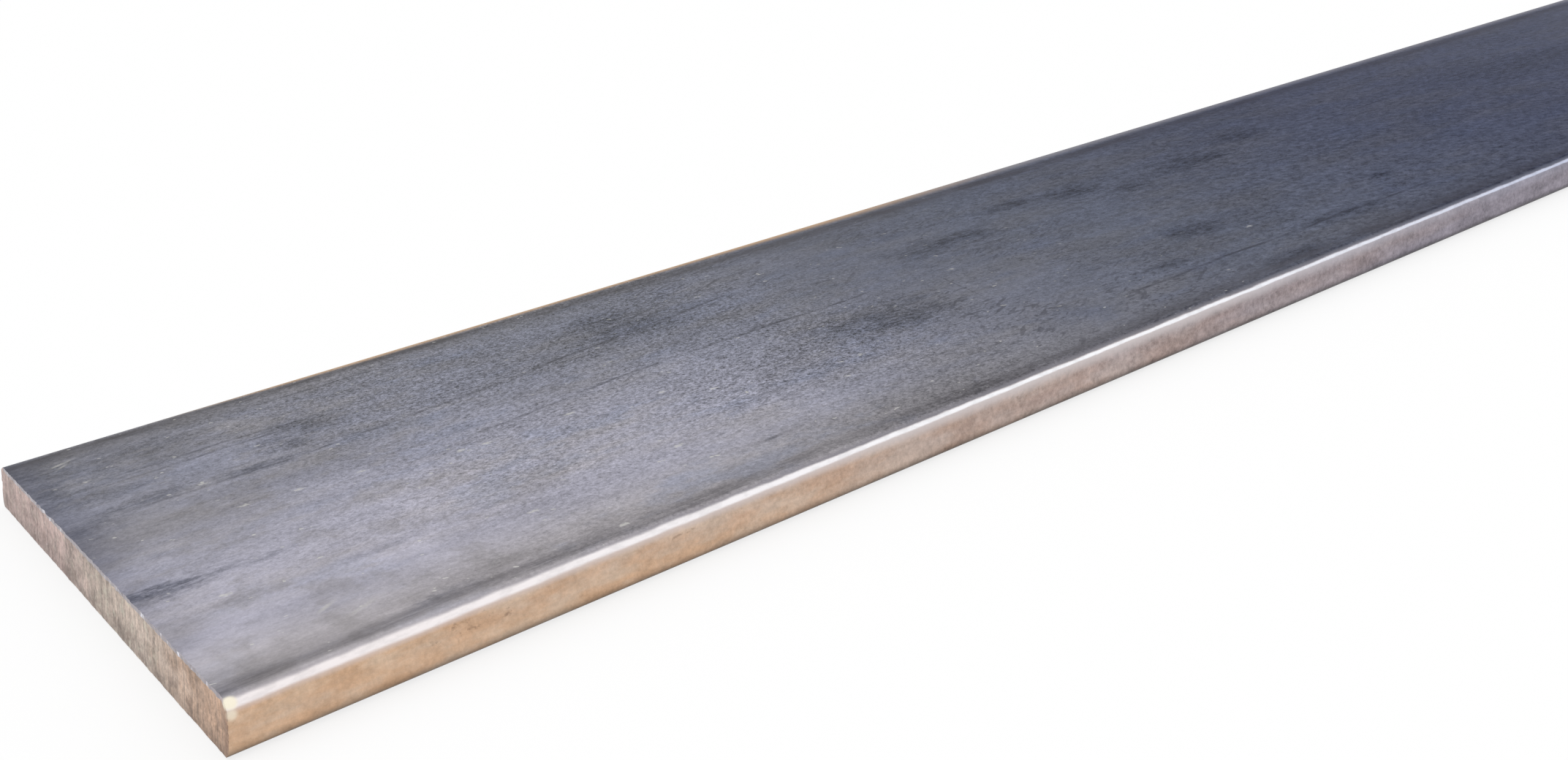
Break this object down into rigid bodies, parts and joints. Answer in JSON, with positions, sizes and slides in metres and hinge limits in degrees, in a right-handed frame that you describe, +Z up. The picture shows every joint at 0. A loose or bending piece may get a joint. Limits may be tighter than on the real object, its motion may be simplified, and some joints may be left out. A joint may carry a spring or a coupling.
{
  "type": "metal flat bar",
  "caption": "Straight length of hot-rolled steel flat bar with rounded long edges and sheared ends, stock for frames, brackets and straps.",
  "frame": {"origin": "centre of the underside, midway along and across the bar", "axes": "+X along the length, +Y across the width, +Z up through the thickness"},
  "size_m": [0.5, 0.05, 0.003],
  "materials": {
    "steel": "blue-grey mill scale, rubbed bright on the long edges, light rust bloom on the edges and sheared ends"
  },
  "bodies": {
    "root": {"flat_bar": "steel"}
  },
  "joints": []
}
